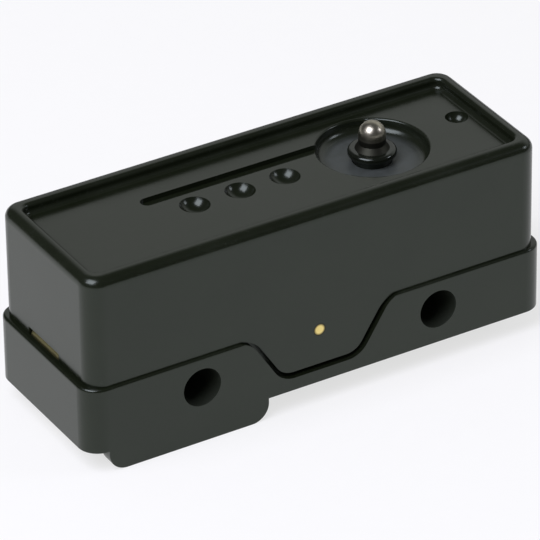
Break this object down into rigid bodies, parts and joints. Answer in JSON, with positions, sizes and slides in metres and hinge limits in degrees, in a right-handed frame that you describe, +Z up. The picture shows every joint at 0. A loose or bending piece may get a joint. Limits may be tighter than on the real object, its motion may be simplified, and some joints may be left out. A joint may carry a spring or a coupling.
{
  "type": "micro switch",
  "caption": "Snap-action switch with a domed pin plunger in the top of a two-part black moulded case, side-to-side mounting holes and screw terminals underneath.",
  "frame": {"origin": "middle of the bounding box's underside: below the middle of the case, at the level of the skirt's foot and the screw heads", "axes": "+X along the case, from the common terminal's end towards the plunger's end; +Y from the front side to the back side, along the mounting holes; +Z up along the plunger"},
  "size_m": [0.0492, 0.0174, 0.022],
  "materials": {
    "base_moulding": "moulded phenolic, slightly glossy black",
    "cover_moulding": "moulded phenolic, slightly glossy black",
    "plunger_moulding": "moulded, glossy black",
    "tip_steel": "turned stainless steel, polished dome",
    "brass": "stamped brass",
    "screw_steel": "nickel-plated steel",
    "spring_bronze": "rolled copper alloy",
    "contact_silver": "silver"
  },
  "bodies": {
    "case": {"base": "base_moulding", "cover": "cover_moulding", "cross_pin": "brass", "com_terminal": "brass", "no_terminal": "brass", "nc_terminal": "brass", "com_screw": "screw_steel", "no_screw": "screw_steel", "nc_screw": "screw_steel", "com_washer": "screw_steel", "no_washer": "screw_steel", "nc_washer": "screw_steel", "blade_anchor": "brass", "blade_rivet": "brass", "no_contact": "contact_silver", "nc_contact": "contact_silver"},
    "plunger": {"plunger_stem": "plunger_moulding", "plunger_collar": "plunger_moulding", "plunger_tip": "tip_steel"},
    "blade": {"snap_blade": "spring_bronze", "moving_contact": "contact_silver"}
  },
  "joints": [
    {"name": "plunger_press", "type": "slide", "parent": "case", "child": "plunger", "axis": [0, 0, -1], "range_m": [0, 0.00055], "stiffness_N_per_m": 5000, "springref_m": -0.0002},
    {"name": "blade_rock", "type": "hinge", "parent": "case", "child": "blade", "pos_m": [-0.014, 0.00045, 0.01157], "axis": [0, 1, 0], "range_deg": [0, 1.3]}
  ],
  "couplings": [
    {"joint": "blade_rock", "follows": "plunger_press", "rad_per_m": 39.682}
  ]
}
